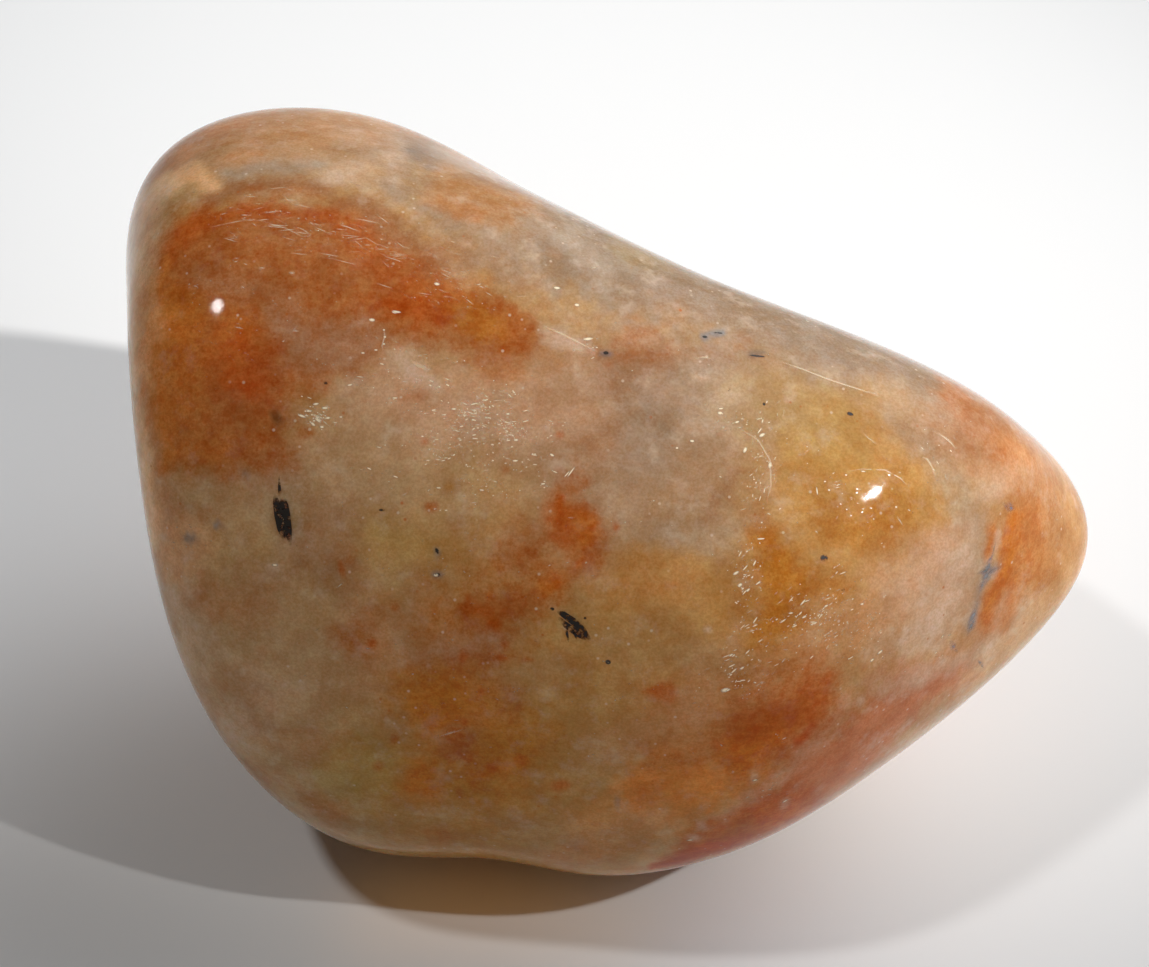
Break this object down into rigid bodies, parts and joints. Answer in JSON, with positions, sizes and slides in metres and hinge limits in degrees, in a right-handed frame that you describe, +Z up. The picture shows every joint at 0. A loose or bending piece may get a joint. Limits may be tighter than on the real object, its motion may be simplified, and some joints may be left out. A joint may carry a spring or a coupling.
{
  "type": "tumbled stone",
  "caption": "Rounded three-cornered tumbled pebble of mottled orange, pink and cream feldspar with a glossy polish, resting on a small flat spot.",
  "frame": {"origin": "middle of the bounding box, on the surface the stone rests on", "axes": "+Z up; +X along the stone's longest extent, towards its narrow tip; -Y towards the broad front face"},
  "size_m": [0.0284, 0.0202, 0.0205],
  "materials": {
    "stone": "glossy tumbled polish over milky, mottled orange, pink and cream feldspar"
  },
  "bodies": {
    "root": {"stone": "stone"}
  },
  "joints": []
}
